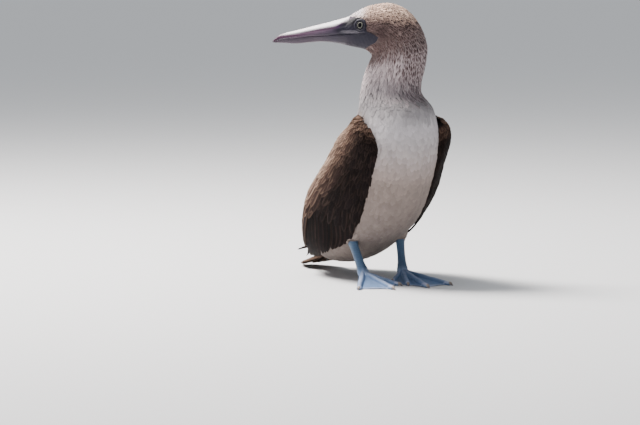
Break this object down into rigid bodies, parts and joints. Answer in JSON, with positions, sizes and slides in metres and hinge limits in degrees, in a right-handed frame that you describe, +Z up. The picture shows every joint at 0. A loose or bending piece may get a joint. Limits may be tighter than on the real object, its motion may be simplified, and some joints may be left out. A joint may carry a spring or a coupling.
{
  "type": "blue-footed booby",
  "caption": "Seabird standing upright on blue webbed feet, with a dagger bill, folded brown wings and a white breast.",
  "frame": {"origin": "middle of the bird's bounding box, on the floor", "axes": "+Z up; the breast faces -Y and the bird's right side is on -X; the bill is turned to -X"},
  "size_m": [0.2454, 0.3568, 0.3909],
  "materials": {
    "head_feather": "matte",
    "neck_feather": "matte",
    "white_feather": "matte",
    "brown_feather": "satin",
    "tail_feather": "satin",
    "bill": "satin",
    "foot_skin": "satin",
    "claw": "satin",
    "eye": "glossy"
  },
  "bodies": {
    "root": {"head": "head_feather", "neck": "neck_feather", "torso": "white_feather", "bill_upper": "bill", "bill_lower": "bill", "eye_left": "eye", "eye_right": "eye", "wing_left": "brown_feather", "wing_right": "brown_feather", "tail": "tail_feather", "thigh_left": "white_feather", "thigh_right": "white_feather", "leg_left": "foot_skin", "leg_right": "foot_skin", "foot_left": "foot_skin", "foot_right": "foot_skin", "claw_hind_left": "claw", "claw_inner_left": "claw", "claw_middle_left": "claw", "claw_outer_left": "claw", "claw_hind_right": "claw", "claw_inner_right": "claw", "claw_middle_right": "claw", "claw_outer_right": "claw"}
  },
  "joints": []
}
